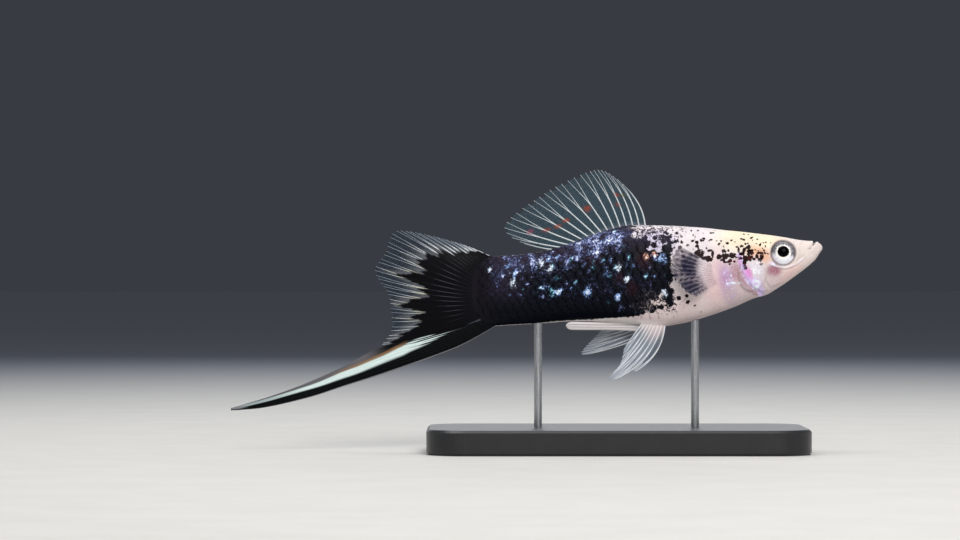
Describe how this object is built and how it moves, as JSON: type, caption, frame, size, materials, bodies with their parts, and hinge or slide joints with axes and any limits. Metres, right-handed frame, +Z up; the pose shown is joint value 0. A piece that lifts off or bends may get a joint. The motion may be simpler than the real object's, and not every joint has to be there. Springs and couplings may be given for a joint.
{
  "type": "swordtail fish model on a display stand",
  "caption": "Life-size still model of a male swordtail fish, black behind and pale in front, with a raised dorsal fin and a long sword on its tail, held on two thin rods over a flat base.",
  "frame": {"origin": "centre of the stand's underside, on the surface it stands on, below the middle of the fish's body", "axes": "+X towards the fish's snout, -Y towards its right side, +Z up"},
  "size_m": [0.1182, 0.038, 0.0564],
  "materials": {
    "pale_skin": "wet pale skin, cream and pink",
    "gill_skin": "silvery, with a violet sheen",
    "marbled_skin": "pale shoulder breaking into glossy black with blue sheen",
    "black_skin": "glossy black with blue sheen",
    "eye": "silver iris round a black pupil, glassy",
    "clear_fin": "clear web with whitish rays",
    "tail_fin": "black root, clear web with whitish rays",
    "sword": "mint-white stripe over a black lower edge",
    "pale_fin": "cream white",
    "stand_black": "matte black acrylic",
    "rod_steel": "bright steel"
  },
  "bodies": {
    "root": {"head": "pale_skin", "lower_jaw": "pale_skin", "gill_cover_right": "gill_skin", "gill_cover_left": "gill_skin", "trunk": "marbled_skin", "tail_stalk": "black_skin", "eye_right": "eye", "eye_left": "eye", "dorsal_fin": "clear_fin", "tail_fin": "tail_fin", "tail_sword": "sword", "gonopodium": "pale_fin", "pelvic_fin_right": "clear_fin", "pelvic_fin_left": "clear_fin", "pectoral_fin_right": "clear_fin", "pectoral_fin_left": "clear_fin", "stand_base": "stand_black", "stand_rod_front": "rod_steel", "stand_rod_rear": "rod_steel"}
  },
  "joints": []
}
